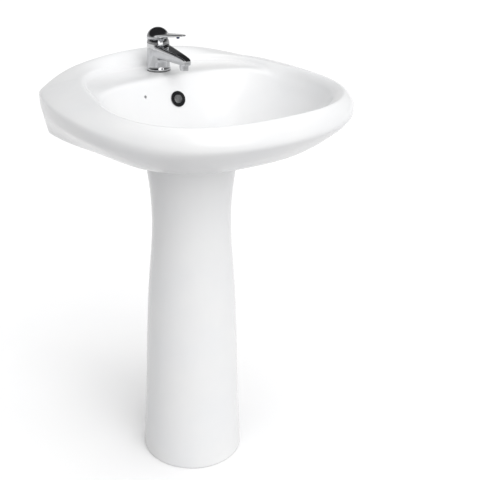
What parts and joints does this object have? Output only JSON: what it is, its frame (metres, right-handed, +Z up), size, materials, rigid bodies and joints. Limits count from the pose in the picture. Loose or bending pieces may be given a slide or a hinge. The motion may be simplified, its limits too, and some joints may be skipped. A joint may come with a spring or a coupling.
{
  "type": "pedestal sink",
  "caption": "Glazed ceramic washbasin on a round pedestal, with a single-lever mixer tap, click-clack waste, bottle trap and isolating valves.",
  "frame": {"origin": "centre of the bounding box on the floor: the middle of the basin's width, half-way between its front edge and the wall", "axes": "+Z up, -Y towards the user, +Y towards the wall, +X to the user's right"},
  "size_m": [0.5532, 0.494, 0.9225],
  "materials": {
    "ceramic": "glossy white glaze",
    "pad": "soft pale strip",
    "chrome": "polished",
    "white_plastic": "moulded",
    "rubber": "matte",
    "cartridge_plastic": "moulded",
    "alumina": "lapped",
    "steel": "satin",
    "brass": "machined",
    "copper": "drawn copper tube",
    "index": "glossy dark plug"
  },
  "bodies": {
    "root": {"basin": "ceramic", "pedestal": "ceramic", "pedestal_pad": "pad", "tap_body": "chrome", "aerator_housing": "chrome", "bonnet_cap": "chrome", "waste_body": "chrome", "overflow_ring": "chrome", "hot_valve_body": "chrome", "cold_valve_body": "chrome", "valve_nuts": "chrome", "trap_inlet_nut": "chrome", "aerator_insert": "white_plastic", "plug_mechanism": "white_plastic", "trap_body": "white_plastic", "trap_cup": "white_plastic", "trap_inlet_tube": "white_plastic", "trap_outlet_pipe": "white_plastic", "trap_outlet_nut": "white_plastic", "aerator_washer": "rubber", "tap_gasket": "rubber", "clamp_rubber": "rubber", "cartridge_seals": "rubber", "waste_top_seal": "rubber", "waste_bottom_seal": "rubber", "trap_inlet_washer": "rubber", "trap_cup_seal": "rubber", "trap_outlet_washer": "rubber", "cartridge_body": "cartridge_plastic", "fixed_disc": "alumina", "plug_spring": "steel", "clamp_plate": "steel", "cartridge_nut": "brass", "tap_stud": "brass", "tap_stud_nut": "brass", "valve_olives": "brass", "waste_backnut": "brass", "hot_tail": "copper", "cold_tail": "copper"},
    "swivel": {"turret": "cartridge_plastic", "lever_pin": "steel"},
    "lever": {"lever_handle": "chrome", "lever_stem": "brass", "lever_grub_screw": "steel", "lever_index_button": "index"},
    "disc": {"moving_disc": "alumina", "disc_carrier": "cartridge_plastic"},
    "plug": {"plug_cap": "chrome", "plug_seal": "rubber", "plug_stem": "steel"},
    "hot_valve": {"hot_valve_ball": "brass", "hot_valve_handle": "steel"},
    "cold_valve": {"cold_valve_ball": "brass", "cold_valve_handle": "steel"}
  },
  "joints": [
    {"name": "tap_swivel", "type": "hinge", "parent": "root", "child": "swivel", "pos_m": [0, 0.177, 0.888], "axis": [0, 0, 1], "range_deg": [-45, 45]},
    {"name": "lever_lift", "type": "hinge", "parent": "swivel", "child": "lever", "pos_m": [0, 0.177, 0.888], "axis": [-1, 0, 0], "range_deg": [0, 20]},
    {"name": "disc_slide", "type": "slide", "parent": "swivel", "child": "disc", "axis": [0, -1, 0], "range_m": [0, 0.0029]},
    {"name": "plug_lift", "type": "slide", "parent": "root", "child": "plug", "axis": [0, 0, 1], "range_m": [0, 0.008], "deforming": ["plug_spring"]},
    {"name": "hot_valve_turn", "type": "hinge", "parent": "root", "child": "hot_valve", "pos_m": [-0.036, 0.112, 0.435], "axis": [0, -1, 0], "range_deg": [0, 90]},
    {"name": "cold_valve_turn", "type": "hinge", "parent": "root", "child": "cold_valve", "pos_m": [0.036, 0.112, 0.435], "axis": [0, 1, 0], "range_deg": [0, 90]}
  ],
  "couplings": [
    {"joint": "disc_slide", "follows": "lever_lift", "m_per_rad": 0.008}
  ]
}
